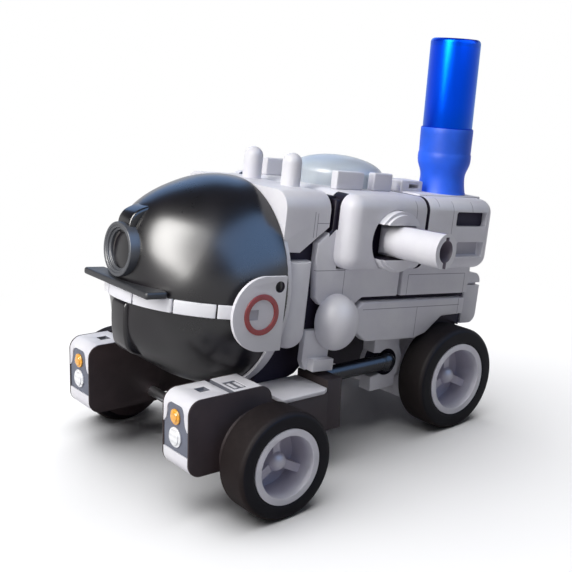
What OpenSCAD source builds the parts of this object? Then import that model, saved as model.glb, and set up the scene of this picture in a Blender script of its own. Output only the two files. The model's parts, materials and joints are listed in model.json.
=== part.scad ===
// Four-wheeled toy rover: a round-headed space explorer whose outstretched legs carry the front wheels.
// Front faces -Y, the visible side of the photo is +X, up is +Z, the ground is z = 0. Millimetres.

/* [Layout] */
// Position of the front axle along the length
front_axle_y = -35.315; // [-45:0.005:-25]
// Distance between the two axles
wheelbase = 74.8; // [60:0.1:90]
// Nose-up tilt of the body
body_pitch = 8; // [0:0.5:12]
// Nose-up tilt of the legs
leg_pitch = 2.5; // [0:0.5:6]
// Height of the middle of the helmet above the ground
body_z = 50; // [44:0.5:60]
// Middle of the helmet rim behind the front axle
body_y = 12.6; // [8:0.1:20]

/* [Wheels] */
// Front wheel radius
front_wheel_r = 14; // [11:0.1:18]
// Rear wheel radius
rear_wheel_r = 15.4; // [12:0.1:20]
// Outer face of the front wheels from the middle plane
front_face_x = 44.9; // [38:0.1:50]
// Outer face of the rear wheels from the middle plane
rear_face_x = 31.2; // [30.6:0.1:36]
// Tyre width
tyre_w = 10.2; // [8:0.1:12]
// Rim radius as a share of the wheel radius
rim_share = 0.7; // [0.6:0.01:0.8]
// Width of the flat rim lip
lip_w = 1.7; // [1:0.1:2.5]
// Radius of the steel axles
axle_r = 1.5; // [1:0.05:2]
// Gap between an axle and its bearing bore
axle_gap = 0.06; // [0.03:0.01:0.1]

/* [Helmet] */
// Radius of the helmet ball
helmet_r = 28.5; // [24:0.1:32]
// Helmet wall thickness
helmet_wall = 2.2; // [1.5:0.1:3]
// Upper edge of the white belt
belt_top = -1; // [-3:0.1:1]
// Lower edge of the white belt
belt_low = -4.4; // [-7:0.1:-3.5]
// How far the belt stands proud of the ball
belt_proud = 0.8; // [0.4:0.1:1.5]
// Radius of the camera barrel
barrel_r = 7; // [5:0.1:8]
// Radius of the camera bore
barrel_bore_r = 4.9; // [3.5:0.1:6]
// Half width of the camera shelf
shelf_half = 16.6; // [14:0.1:22]

/* [Body] */
// Half width of the dark inner frame
core_half = 21.5; // [20:0.1:22.5]
// Half width of the flank panels
flank_half = 24; // [23:0.1:26]
// Half width of the backpack
pack_half = 30; // [27:0.1:32]
// Level of the deck on top of the backpack
deck_v = 28; // [26:0.1:30]
// Underside of the backpack sides
pack_low = 7.5; // [5:0.1:9]
// Edge rounding of the backpack
pack_round = 4; // [2:0.1:5]

/* [Arms] */
// Radius of the round shoulder disc
disc_r = 8.3; // [7:0.1:9]
// Gap around the shoulder disc
disc_gap = 0.06; // [0.03:0.01:0.1]
// Radius of the arm tube
tube_r = 4.4; // [3.5:0.1:4.6]
// Radius of the arm tube at its open end
tube_end_r = 4.75; // [4.5:0.05:5.2]
// Length of the arm tube from its pivot
tube_len = 18.2; // [14:0.1:20]
// Radius of the socket bore in the arm tube
socket_r = 3; // [2:0.05:3.4]
// Depth of the socket bore
socket_depth = 9; // [6:0.1:10]
// Rearward swing of the arm tube
tube_swing = 9; // [0:1:30]

/* [Battery] */
// Diameter of the power cell
cell_d = 14.5; // [13.5:0.1:14.5]
// Length of the power cell
cell_len = 33.5; // [33:0.1:34]
// Sideways place of the cell
cell_x = 16; // [0:0.1:18]
// Lengthwise place of the cell
cell_u = 64.6; // [55:0.1:66]
// Forward lean of the cell against the deck
cell_lean = 3; // [0:0.1:5]

/* [Drive] */
// Tooth size of the gears
gear_module = 0.4; // [0.35:0.05:0.45]
// Teeth of the large gears
big_teeth = 30; // [24:2:36]
// Teeth of the small gears
small_teeth = 10; // [10:2:14]
// Radius of the electric motor
motor_r = 6.4; // [5:0.1:6.6]

/* [Hidden] */
$fn = 64;
rear_axle_y = front_axle_y + wheelbase;
front_stub = front_face_x - tyre_w + 3;
rear_stub = rear_face_x - tyre_w + 3;
ball_u = -3.5;
ball_v = 0.5;
rim_u = 0;
barrel_v = 8.6;
ear_u = -8.2;
ear_v = -2.6;
ear_r = 9.6;
ear_edge_u = -2;
core_top = deck_v - 1.4;
core_low = -13;
belly_half = 16.4;
spigot_r = 5.2;
cup_r = 7.85;
cell_base = 11.6;
disc_u = 34;
disc_v = 16;
slot_half = tube_r + 0.3;
pivot_x = 28.2;
hip_x = 20;
hip_p = 55.1;
hip_q = 10.6;
hip_ball_r = 3;
strut_r = 2.3;
boot_in = 19.7;
boot_out = 31.8;
boot_top = 16.7;
boot_low = -3.2;
boot_front = -20.4;
boot_side = 0.5;
centre_gap = gear_module*(big_teeth + small_teeth)/2;
idler_y = rear_axle_y - centre_gap*cos(60);
idler_z = rear_wheel_r + centre_gap*sin(60);
pinion_y = idler_y - centre_gap*cos(45);
pinion_z = idler_z + centre_gap*sin(45);
big = 400;

// Places children given in the tilted frame of the body
module body_frame() {
    translate([0, front_axle_y + body_y, body_z]) rotate([-body_pitch, 0, 0]) children();
}

// Places children given in the frame of the legs, whose origin is the front axle
module leg_frame() {
    translate([0, front_axle_y, front_wheel_r]) rotate([-leg_pitch, 0, 0]) children();
}

// Repeats children on the other side
module both() {
    children();
    mirror([1, 0, 0]) children();
}

// Side-view outline pulled out sideways from x0 to x1
module slab(x0, x1) {
    translate([x0, 0, 0]) rotate([90, 0, 90]) linear_extrude(x1 - x0) children();
}

// Rod along the width
module cross_rod(r, x0, x1) {
    translate([x0, 0, 0]) rotate([0, 90, 0]) cylinder(r = r, h = x1 - x0);
}

// Rectangle between two corners
module box2(a, b) {
    translate(a) square(b - a);
}

// Rectangle between two corners with rounded corners
module round_box2(a, b, r) {
    box2(a + [r, 0], b - [r, 0]);
    box2(a + [0, r], b - [0, r]);
    for (x = [a[0] + r, b[0] - r], y = [a[1] + r, b[1] - r]) {
        translate([x, y]) circle(r);
    }
}

// Block between two corners
module block(a, b) {
    translate(a) cube(b - a);
}

// Ball that shapes the helmet
module helmet_ball(extra) {
    translate([0, ball_u, ball_v]) sphere(r = helmet_r + extra, $fn = 128);
}

// Hollow helmet cut between two levels
module helmet_shell(low, high) {
    difference() {
        helmet_ball(0);
        helmet_ball(-helmet_wall);
        translate([-big/2, rim_u, -big/2]) cube(big);
        translate([-big/2, -big/2, high]) cube(big);
        translate([-big/2, -big/2, low - big]) cube(big);
    }
}

module helmet_dome() {
    color([0.03, 0.03, 0.04]) body_frame() {
        difference() {
            helmet_shell(belt_top, 60);
            block([-shelf_half - 1, -40, belt_top - 0.1], [shelf_half + 1, -28, 0.8]);
        }
        difference() {
            slab(-3.6, 3.6) polygon([[-28.3, 12], [-32.6, 12], [-33.4, 15], [-33.2, 17.2], [-32.2, 18.9],
                                     [-30, 20.1], [-26, 21.2], [-20, 23], [-20.3, 22], [-22.6, 20], [-26, 16]]);
            translate([0, -20, barrel_v]) rotate([90, 0, 0]) cylinder(r = barrel_r, h = 20);
        }
    }
}

module helmet_bowl() {
    color([0.03, 0.03, 0.04]) body_frame() {
        helmet_shell(-60, belt_low);
        difference() {
            slab(-3.6, 3.6) polygon([[-20, belt_low], [-32.7, belt_low], [-32.6, -9], [-32.1, -13.4],
                                     [-31.2, -16.8], [-29.4, -18.4], [-25, -19.6], [-16, -20.5]]);
            helmet_ball(-0.5);
        }
    }
}

module helmet_belt() {
    color([0.92, 0.92, 0.96]) body_frame() {
        difference() {
            union() {
                helmet_shell(belt_low, belt_top);
                intersection() {
                    translate([0, ball_u, belt_low]) cylinder(r = helmet_r + belt_proud, h = belt_top - belt_low);
                    block([-40, -40, -20], [40, -16.9, 20]);
                }
            }
            helmet_ball(-helmet_wall);
            for (a = [-58, -36, -12, 12, 36, 58]) {
                translate([0, ball_u, 0]) rotate([0, 0, a])
                    block([-0.3, -helmet_r - 2, -10], [0.3, -helmet_r + 0.2, 10]);
            }
        }
    }
}

module camera_barrel() {
    color([0.2, 0.2, 0.22]) body_frame() {
        difference() {
            translate([0, -22, barrel_v]) rotate([90, 0, 0]) cylinder(r = barrel_r, h = 12.2);
            translate([0, -20, barrel_v]) rotate([90, 0, 0]) cylinder(r = barrel_bore_r, h = 16);
            translate([0, -33.4, barrel_v]) rotate([90, 0, 0]) cylinder(r = barrel_bore_r + 0.7, h = 2);
            helmet_ball(0.02);
        }
    }
}

module camera_lens() {
    color([0.12, 0.1, 0.12]) body_frame() {
        difference() {
            translate([0, -26, barrel_v]) rotate([90, 0, 0]) cylinder(r = barrel_bore_r - 0.02, h = 6.4);
            helmet_ball(0.02);
        }
    }
}

module camera_shelf() {
    color([0.16, 0.17, 0.19]) body_frame() {
        difference() {
            translate([0, 0, belt_top]) linear_extrude(1.8)
                round_box2([-shelf_half, -34.4], [shelf_half, -28.1], 0.9);
            helmet_ball(-helmet_wall + 0.5);
        }
    }
}

module ear_plate() {
    color([0.85, 0.84, 0.92]) body_frame() {
        slab(29, 30) difference() {
            intersection() {
                union() {
                    translate([ear_u, ear_v]) circle(ear_r);
                    box2([ear_u, ear_v - ear_r], [ear_edge_u, ear_v + ear_r]);
                }
                box2([-40, -40], [ear_edge_u, 40]);
            }
            translate([-4.1, 4.3]) circle(1.45);
        }
        difference() {
            translate([0, ear_u, ear_v]) cross_rod(5, 24, 29);
            helmet_ball(0.02);
            block([0, -40, belt_low], [40, -16.8, belt_top]);
        }
    }
}

module left_ear_plate() {
    ear_plate();
}

module right_ear_plate() {
    mirror([1, 0, 0]) ear_plate();
}

module ear_rings() {
    color([0.65, 0.12, 0.1]) both() body_frame() slab(30, 30.4) translate([ear_u - 1, ear_v]) difference() {
        circle(5.25);
        circle(3.85);
    }
}

module chin_strap() {
    color([0.85, 0.84, 0.92]) body_frame() {
        intersection() {
            translate([0, -0.1, ball_v]) rotate([90, 0, 0]) difference() {
                cylinder(r = helmet_r + 0.9, h = 2.9);
                translate([0, 0, -1]) cylinder(r = helmet_r + 0.05, h = 5);
            }
            block([-40, -10, -40], [40, 10, -12.8]);
        }
    }
}

module body_core() {
    color([0.2, 0.15, 0.26]) difference() {
        body_frame() difference() {
            union() {
                block([-core_half, 1.4, core_low], [core_half, 74.4, core_top]);
                translate([0, 1.4, ball_v]) rotate([90, 0, 0]) cylinder(r = helmet_r - 0.6, h = 1.4);
                slab(-belly_half, belly_half) belly2(0);
            }
            slab(2 - belly_half, belly_half - 2) belly2(2);
            block([-core_half + 2.2, 4, core_low + 2.2], [core_half - 2.2, 72.2, core_top - 2]);
            block([-14, 40, core_low - 1], [14, 72, core_low + 3]);
            both() translate([0, disc_u, disc_v]) cross_rod(3.2, core_half - 3, core_half + 1);
            cell_frame() cylinder(r = spigot_r + 0.05, h = 30, center = true);
        }
        both() translate([0, rear_axle_y, rear_wheel_r]) cross_rod(rear_wheel_r + 0.8, 20.4, 40);
    }
}

// Side outline of the dark belly behind the chin
module belly2(inset) {
    polygon([[1.4 + inset, core_low + 5], [19.5 - inset, core_low + 5], [19.5 - inset, -19 + inset/2],
             [15 - inset/2, -23.5 + inset], [8, -26.4 + inset], [1.4 + inset, -26.4 + inset]]);
}

module collar_shell() {
    color([0.88, 0.87, 0.93]) body_frame() difference() {
        intersection() {
            slab(-flank_half, flank_half)
                polygon([[0.15, 12], [6, 11.8], [15.1, 18.6], [15.1, 28], [0.15, 28]]);
            translate([0, 40, 0]) rotate([90, 0, 0]) linear_extrude(60)
                round_box2([-flank_half, -20], [flank_half, deck_v - 0.4], 5);
        }
        block([-core_half, 1.4, 0], [core_half, 20, core_top]);
        translate([0, 1.4, ball_v]) rotate([90, 0, 0]) cylinder(r = helmet_r - 0.55, h = 5);
    }
}

module column() {
    color([0.88, 0.87, 0.93]) body_frame() difference() {
        union() {
            translate([21.9, 6, -9.6]) cylinder(r = 4.6, h = 19.1);
            translate([21.9, 6, -9.6]) sphere(r = 4.6);
            slab(core_half, 23.4) polygon([[11.5, -9.6], [20.4, -9.6], [20.4, -20.4], [12.6, -20.4],
                                           [11.4, -18]]);
            slab(23.4, 26) box2([13.4, -20.4], [20.4, -17.2]);
        }
        block([-1, -20, -40], [core_half, 40, 40]);
    }
}

module left_column() {
    column();
}

module right_column() {
    mirror([1, 0, 0]) column();
}

module flank() {
    color([0.82, 0.81, 0.88]) body_frame() slab(core_half, flank_half) {
        polygon([[11.9, 9.6], [11.9, 14.2], [16.4, 17.9], [16.4, 26], [19.3, 26], [19.3, 7.3], [43.7, 7.3],
                 [43.7, -0.9], [30.1, -0.9], [27.5, -2.7], [15.3, -2.7], [13.2, -0.8]]);
        box2([45, -0.9], [73.6, 7.3]);
    }
}

module left_flank() {
    flank();
}

module right_flank() {
    mirror([1, 0, 0]) flank();
}

module sill() {
    color([0.86, 0.85, 0.92]) body_frame() slab(core_half, flank_half + 0.6)
        polygon([[28, -4.4], [30.6, -2.2], [72.2, -2.2], [72.2, -7.2], [63, -7.6], [60, -10], [57, -12.4],
                 [52.4, -13.8], [33, -13.6], [29.2, -11]]);
}

module left_sill() {
    sill();
}

module right_sill() {
    mirror([1, 0, 0]) sill();
}

module egg() {
    color([0.93, 0.93, 0.95]) body_frame() difference() {
        translate([25, 20.3, -7.2]) {
            rotate_extrude()
                polygon([[0, -7.8], [2.2, -7.4], [4.2, -6.3], [5.6, -4.5], [6.3, -2.2], [6.4, 0], [6.2, 2],
                         [5.5, 4.2], [4.3, 6], [2.4, 7.3], [0, 7.8]]);
        }
        block([0, 0, -30], [flank_half, 40, 30]);
    }
}

module left_egg() {
    egg();
}

module right_egg() {
    mirror([1, 0, 0]) egg();
}

// Rounded outside of the backpack
module pack_form() {
    intersection() {
        slab(-pack_half, pack_half) round_box2([19.5, pack_low], [74.5, deck_v], pack_round);
        linear_extrude(60) round_box2([-pack_half, 19.5], [pack_half, 74.5], pack_round);
        translate([0, 80, 0]) rotate([90, 0, 0]) linear_extrude(80)
            round_box2([-pack_half, pack_low], [pack_half, deck_v], pack_round);
    }
}

module pack_front() {
    color([0.87, 0.86, 0.92]) body_frame() difference() {
        intersection() {
            pack_form();
            block([-40, 10, 0], [40, 45, 40]);
        }
        block([-core_half, 0, 0], [core_half, 80, core_top]);
        both() translate([0, disc_u, disc_v]) cross_rod(disc_r + disc_gap, 23.4, 40);
        both() translate([0, disc_u, disc_v]) cross_rod(3.16, core_half - 1, 30);
    }
}

module pack_rear() {
    color([0.87, 0.86, 0.92]) body_frame() difference() {
        intersection() {
            pack_form();
            block([-40, 46.2, 0], [40, 80, 40]);
        }
        block([-core_half, 0, 0], [core_half, 74.4, core_top]);
        both() slab(27.6, 40) round_box2([57.6, 20.2], [70.6, 24.4], 0.6);
        both() slab(28.6, 40) round_box2([59, 11.3], [70.6, 15.8], 0.6);
        cell_frame() cylinder(r = spigot_r + 0.05, h = 30, center = true);
    }
}

module pack_windows() {
    color([0.05, 0.04, 0.07]) both() body_frame()
        slab(27.6, 28.2) round_box2([57.65, 20.25], [70.55, 24.35], 0.6);
}

module shoulder_disc() {
    color([0.88, 0.87, 0.93]) body_frame() translate([0, disc_u, disc_v]) {
        difference() {
            union() {
                cross_rod(disc_r, 23.5, 32);
                cross_rod(disc_r - 0.8, 32, 33);
                cross_rod(3.1, core_half - 2, 23.5);
            }
            block([24.8, -20, -slot_half], [40, 20, slot_half]);
        }
        translate([pivot_x, 0, -slot_half - 0.5]) cylinder(r = 1.2, h = 2*slot_half + 1);
    }
}

module left_shoulder_disc() {
    shoulder_disc();
}

module right_shoulder_disc() {
    mirror([1, 0, 0]) shoulder_disc();
}

module arm_tube() {
    color([0.95, 0.95, 0.97]) body_frame() translate([pivot_x, disc_u, disc_v]) rotate([0, 0, tube_swing])
        difference() {
            union() {
                translate([1, 0, 0]) rotate([0, 90, 0]) cylinder(r1 = tube_r, r2 = tube_end_r, h = tube_len - 1);
                intersection() {
                    cross_rod(tube_r, -6, 2);
                    translate([0, 0, -10]) cylinder(r = 3, h = 20);
                }
            }
            translate([0, 0, -10]) cylinder(r = 1.26, h = 20);
            cross_rod(socket_r, tube_len - socket_depth, tube_len + 1);
            block([tube_len - 5, -0.75, -tube_end_r - 1], [tube_len + 1, 0.75, 0]);
            block([tube_len - 2, -0.75, 0], [tube_len + 1, 0.75, socket_r + 0.8]);
        }
}

module left_arm_tube() {
    arm_tube();
}

module right_arm_tube() {
    mirror([1, 0, 0]) arm_tube();
}

module deck_dome() {
    color([0.75, 0.8, 0.86]) body_frame() translate([0, 36.5, 0]) difference() {
        intersection() {
            translate([0, 0, deck_v]) cylinder(r = 13.6, h = 20);
            translate([0, 0, 36.4 - 26.2]) sphere(r = 26.2, $fn = 128);
        }
        intersection() {
            translate([0, 0, deck_v - 1]) cylinder(r = 12.2, h = 20);
            translate([0, 0, 35 - 26.2]) sphere(r = 26.2, $fn = 128);
        }
    }
}

module deck_posts() {
    color([0.9, 0.9, 0.95]) body_frame() both() {
        slab(14.6, 17.2) round_box2([21.8, deck_v], [31.8, 33], 0.5);
        slab(14.6, 17.2) round_box2([35.6, deck_v], [42.8, 33], 0.5);
    }
}

module deck_pins() {
    color([0.9, 0.9, 0.95]) body_frame() both() translate([8.9, 12.4, 0]) {
        translate([0, 0, deck_v - 0.4]) cylinder(r = 2.7, h = 6.2);
        translate([0, 0, deck_v + 5.8]) sphere(r = 2.7);
    }
}

module deck_latch() {
    color([0.85, 0.84, 0.92]) body_frame() difference() {
        slab(10, 17) round_box2([46.8, deck_v], [55.4, deck_v + 3.4], 0.5);
        slab(12.5, 20) box2([50, deck_v + 1.2], [54, deck_v + 2.4]);
    }
}

// Places children on the axis of the power cell, with z = 0 on the deck
module cell_frame() {
    translate([cell_x, cell_u, deck_v]) rotate([cell_lean, 0, 0]) children();
}

module battery_holder() {
    color([0.05, 0.2, 0.85]) body_frame() cell_frame() rotate_extrude() difference() {
        polygon([[0, -3], [spigot_r, -3], [spigot_r, 0.45], [7.5, 0.45], [7.2, 1.1], [6.2, 1.8], [5.8, 2.7],
                 [6.1, 3.8], [6.6, 5.4], [7.1, 7], [7.6, 8.8], [cup_r, 11], [cup_r, 17], [cup_r - 0.1, 18.6],
                 [7.6, 19.6], [0, 19.6]]);
        box2([-1, cell_base - 0.1], [cell_d/2 + 0.05, 30]);
    }
}

module battery_cell() {
    color([0.1, 0.35, 0.9]) body_frame() cell_frame() {
        translate([0, 0, cell_base]) cylinder(r = cell_d/2, h = cell_len - 0.5);
        translate([0, 0, cell_base]) cylinder(r = cell_d/2 - 0.5, h = cell_len);
    }
}

module tail_block() {
    color([0.84, 0.83, 0.9]) body_frame() difference() {
        slab(-22, 22) round_box2([70, -11], [81.2, 4.8], 3);
        block([-30, 0, -30], [30, 74.5, 30]);
        both() block([20.4, 70, 0.9], [30, 82, 1.7]);
    }
}

// Gear outline with a tooth pointing along the first axis
module gear2(teeth, bore) {
    pitch_r = gear_module*teeth/2;
    root_r = pitch_r - 1.2*gear_module;
    tip_r = pitch_r + 0.8*gear_module;
    half_root = gear_module*0.95;
    half_tip = gear_module*0.36;
    difference() {
        union() {
            circle(root_r);
            for (i = [0:teeth - 1]) {
                rotate(i*360/teeth) polygon([[root_r - 0.4, -half_root], [pitch_r, -gear_module*0.68],
                    [tip_r, -half_tip], [tip_r, half_tip], [pitch_r, gear_module*0.68],
                    [root_r - 0.4, half_root]]);
            }
        }
        if (bore > 0) circle(bore);
    }
}

module rear_bracket() {
    color([0.84, 0.83, 0.9]) difference() {
        union() {
            difference() {
                slab(-15.8, 15.8) gearbox2(0);
                slab(-14, 14) gearbox2(1.6);
            }
            slab(4, 12) box2([pinion_y - 5, 14.6], [pinion_y + 3.4, 26]);
            both() hip_clip();
        }
        translate([0, pinion_y, pinion_z]) cross_rod(motor_r + 0.02, -5.42, 13.62);
        body_frame() block([-60, -60, core_low - 0.02], [60, 160, 60]);
        translate([0, rear_axle_y, rear_wheel_r]) cross_rod(axle_r + axle_gap, -40, 40);
        translate([0, idler_y, idler_z]) cross_rod(1 + axle_gap, -40, 40);
    }
}

// Side outline of the gearbox
module gearbox2(inset) {
    box2([rear_axle_y - 8.6 + inset, 7 + inset], [rear_axle_y + 9 - inset, 44]);
    box2([pinion_y - 8.6 + inset, 14.5 + inset], [rear_axle_y + 6, 44]);
}

// Open clip that holds the ball of a hip strut
module hip_clip() {
    leg_frame() difference() {
        slab(15.8, 20.5) {
            translate([hip_p, hip_q]) circle(6.2);
            box2([hip_p - 6, hip_q - 8], [hip_p + 3.6, hip_q]);
            box2([hip_p - 5, hip_q], [hip_p + 5, hip_q + 12]);
        }
        translate([hip_x, hip_p, hip_q]) sphere(r = hip_ball_r + 0.08);
        translate([0, hip_p, hip_q]) cross_rod(4, 18.6, 30);
        translate([hip_x, hip_p, hip_q]) rotate([90, 0, 0]) cylinder(r = strut_r + 0.5, h = 20);
        slab(17.6, 30) polygon([[hip_p, hip_q - 2.8], [hip_p - 9, hip_q - 4.1], [hip_p - 9, hip_q + 4.1],
                                [hip_p, hip_q + 2.8]]);
    }
}

module drive_motor() {
    color([0.6, 0.6, 0.62]) translate([0, pinion_y, pinion_z]) difference() {
        union() {
            cross_rod(motor_r, -5.4, 13.6);
            cross_rod(3, -6, -5.4);
        }
        cross_rod(1 + axle_gap, -7, 6);
    }
}

module motor_pinion() {
    color([0.75, 0.6, 0.3]) translate([0, pinion_y, pinion_z]) {
        rotate([-45, 0, 0]) slab(-9.4, -6.6) gear2(small_teeth, 0);
        cross_rod(1, -7, 5);
    }
}

module idler_gear() {
    color([0.9, 0.9, 0.88]) translate([0, idler_y, idler_z]) {
        rotate([135 + 180/big_teeth, 0, 0]) slab(-9.3, -6.7) gear2(big_teeth, 0);
        rotate([-60 + 180/small_teeth, 0, 0]) slab(-13.3, -9) gear2(small_teeth, 0);
        cross_rod(1, -15.6, 15.6);
    }
}

module axle_gear() {
    color([0.9, 0.9, 0.88]) translate([0, rear_axle_y, rear_wheel_r])
        rotate([120, 0, 0]) slab(-13, -10) gear2(big_teeth, axle_r);
}

module rear_axle() {
    color([0.75, 0.76, 0.78]) translate([0, rear_axle_y, rear_wheel_r]) cross_rod(axle_r, -rear_stub, rear_stub);
}

// Tyre with its outer face on x
module tyre(face_x, r) {
    rim_r = r*rim_share;
    translate([face_x - tyre_w, 0, 0]) rotate([90, 0, 90]) difference() {
        union() {
            translate([0, 0, 0.6]) cylinder(r = r, h = tyre_w - 1.2);
            cylinder(r = r - 0.6, h = tyre_w);
        }
        translate([0, 0, -1]) cylinder(r = rim_r + 0.02, h = tyre_w + 2);
    }
}

// Deep-dished wheel hub with three spokes
module hub(face_x, r) {
    rim_r = r*rim_share;
    in_x = face_x - tyre_w;
    difference() {
        cross_rod(rim_r, in_x, face_x);
        cross_rod(rim_r - lip_w, in_x + 1.4, face_x + 1);
        cross_rod(axle_r, in_x - 1, in_x + 3);
    }
    difference() {
        union() {
            cross_rod(2.6, in_x + 1.4, face_x - 5.4);
            translate([face_x - 5.2, 0, 0]) sphere(r = 2.6);
            for (a = [90, 210, 330]) {
                rotate([a, 0, 0]) block([in_x + 1.4, 0, -1.1], [face_x - 4.6, rim_r - lip_w + 0.2, 1.1]);
            }
        }
        cross_rod(axle_r, in_x - 1, in_x + 3);
    }
}

module rear_place() {
    translate([0, rear_axle_y, rear_wheel_r]) children();
}

module front_place() {
    translate([0, front_axle_y, front_wheel_r]) children();
}

module rear_left_tyre() {
    color([0.08, 0.07, 0.07]) rear_place() tyre(rear_face_x, rear_wheel_r);
}

module rear_left_hub() {
    color([0.8, 0.79, 0.86]) rear_place() hub(rear_face_x, rear_wheel_r);
}

module rear_right_tyre() {
    color([0.08, 0.07, 0.07]) rear_place() mirror([1, 0, 0]) tyre(rear_face_x, rear_wheel_r);
}

module rear_right_hub() {
    color([0.8, 0.79, 0.86]) rear_place() mirror([1, 0, 0]) hub(rear_face_x, rear_wheel_r);
}

module front_left_tyre() {
    color([0.12, 0.1, 0.09]) front_place() tyre(front_face_x, front_wheel_r);
}

module front_left_hub() {
    color([0.8, 0.79, 0.86]) front_place() hub(front_face_x, front_wheel_r);
}

module front_right_tyre() {
    color([0.12, 0.1, 0.09]) front_place() mirror([1, 0, 0]) tyre(front_face_x, front_wheel_r);
}

module front_right_hub() {
    color([0.8, 0.79, 0.86]) front_place() mirror([1, 0, 0]) hub(front_face_x, front_wheel_r);
}

module front_axle() {
    color([0.75, 0.76, 0.78]) front_place() cross_rod(axle_r, -front_stub, front_stub);
}

// Side outline of a boot
module boot2(inset) {
    round_box2([boot_front + inset, boot_low + inset], [4.4 - inset, boot_top - inset], 3.6 - inset);
}

module leg() {
    color([0.2, 0.15, 0.15]) leg_frame() difference() {
        union() {
            slab(boot_in, boot_out) boot2(1.4);
            slab(boot_in, boot_in + boot_side) boot2(0);
            slab(boot_out - boot_side, boot_out) boot2(0);
            cross_rod(11.4, boot_out, boot_out + 2.3);
            slab(boot_in, 30.6) box2([2.6, -1], [24.2, 10.2]);
            slab(17, 30) box2([24.6, -1], [29.6, 13.2]);
            slab(boot_in + 1, 29) box2([24.1, -0.4], [24.7, 9.6]);
        }
        cross_rod(axle_r + axle_gap, 0, 60);
        translate([hip_x, 29.8, hip_q]) rotate([90, 0, 0]) cylinder(r = strut_r, h = 4);
    }
}

module left_leg() {
    leg();
}

module right_leg() {
    mirror([1, 0, 0]) leg();
}

module hip_struts() {
    color([0.06, 0.06, 0.08]) both() leg_frame() translate([hip_x, 0, hip_q]) {
        translate([0, hip_p, 0]) rotate([90, 0, 0]) cylinder(r = strut_r, h = hip_p - 25.8);
        translate([0, hip_p, 0]) sphere(r = hip_ball_r);
    }
}

module knee_plates() {
    color([0.93, 0.92, 0.96]) both() leg_frame() translate([0, 0, 10.2]) linear_extrude(1.1)
        polygon([[17, 8.6], [17, 24.4], [30, 24.4], [31.2, 22.6], [31.2, 8.6]]);
}

// White shell over the top and front of a boot
module boot_hood() {
    color([0.95, 0.95, 0.97]) leg_frame() difference() {
        slab(boot_in + boot_side + 0.02, boot_out - boot_side - 0.02) difference() {
            boot2(0);
            boot2(1.4);
            box2([1.6, -30], [60, 30]);
            box2([-17.4, -30], [60, boot_top - 1.5]);
            box2([-60, 2], [-18.9, 3.4]);
        }
        translate([0, boot_front + 1.4, 0]) rotate([90, 0, 0]) linear_extrude(2.4) boot_face2(0);
        block([boot_in - 1, -8.4, boot_top - 0.6], [boot_out + 1, -6.8, boot_top + 1]);
        block([boot_in + 4.4, -14.2, boot_top - 0.8], [boot_in + 7.4, -11.2, boot_top + 1]);
    }
}

module left_boot_hood() {
    boot_hood();
}

module right_boot_hood() {
    mirror([1, 0, 0]) boot_hood();
}

module boot_faces() {
    color([0.33, 0.34, 0.42]) both() leg_frame() intersection() {
        translate([0, boot_front + 1.38, 0]) rotate([90, 0, 0]) linear_extrude(1.18) boot_face2(0.05);
        block([boot_in + boot_side + 0.04, -40, -20], [boot_out - boot_side - 0.04, 0, 40]);
    }
}

// Front outline of a boot's grey face: arched above, as wide as the boot below
module boot_face2(inset) {
    round_box2([boot_in + 2.2 + inset, 2 + inset], [boot_out - 2.2 - inset, 14.4 - inset], 1.9);
    polygon([[boot_in - 1, 2 + inset], [boot_out + 1, 2 + inset], [boot_out + 1, 8.3 - inset],
             [boot_out - 0.9, 8.8 - inset], [boot_out - 1.7 - inset, 9.9 - inset],
             [boot_out - 2.2 - inset, 11.8], [boot_in + 2.2 + inset, 11.8],
             [boot_in + 1.7 + inset, 9.9 - inset], [boot_in + 0.9, 8.8 - inset],
             [boot_in - 1, 8.3 - inset]]);
}

// Round lamp lens on the front of a boot
module lamp(q, r) {
    leg_frame() translate([(boot_in + boot_out)/2, boot_front + 0.2, q]) rotate([90, 0, 0]) {
        cylinder(r = r, h = 0.5);
        cylinder(r = r - 0.6, h = 0.9);
    }
}

module amber_lamps() {
    color([0.95, 0.55, 0.05]) both() lamp(11.2, 2);
}

module white_lamps() {
    color([0.98, 0.98, 0.98]) both() lamp(5.9, 2.6);
}

helmet_dome();
helmet_bowl();
helmet_belt();
camera_barrel();
camera_lens();
camera_shelf();
left_ear_plate();
right_ear_plate();
ear_rings();
chin_strap();
body_core();
collar_shell();
left_column();
right_column();
left_flank();
right_flank();
left_sill();
right_sill();
left_egg();
right_egg();
pack_front();
pack_rear();
pack_windows();
left_shoulder_disc();
right_shoulder_disc();
left_arm_tube();
right_arm_tube();
deck_dome();
deck_posts();
deck_pins();
deck_latch();
battery_holder();
battery_cell();
tail_block();
rear_bracket();
drive_motor();
motor_pinion();
idler_gear();
axle_gear();
rear_axle();
rear_left_tyre();
rear_left_hub();
rear_right_tyre();
rear_right_hub();
left_leg();
right_leg();
hip_struts();
knee_plates();
left_boot_hood();
right_boot_hood();
boot_faces();
amber_lamps();
white_lamps();
front_axle();
front_left_tyre();
front_left_hub();
front_right_tyre();
front_right_hub();
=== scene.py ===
"""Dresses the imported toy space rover: moulded skins, procedural finishes and a small studio."""
import json
import math

import bmesh
import bpy
from bpy.props import FloatProperty, FloatVectorProperty, PointerProperty
from bpy.types import Operator, Panel, PropertyGroup
from mathutils import Matrix, Vector

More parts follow.
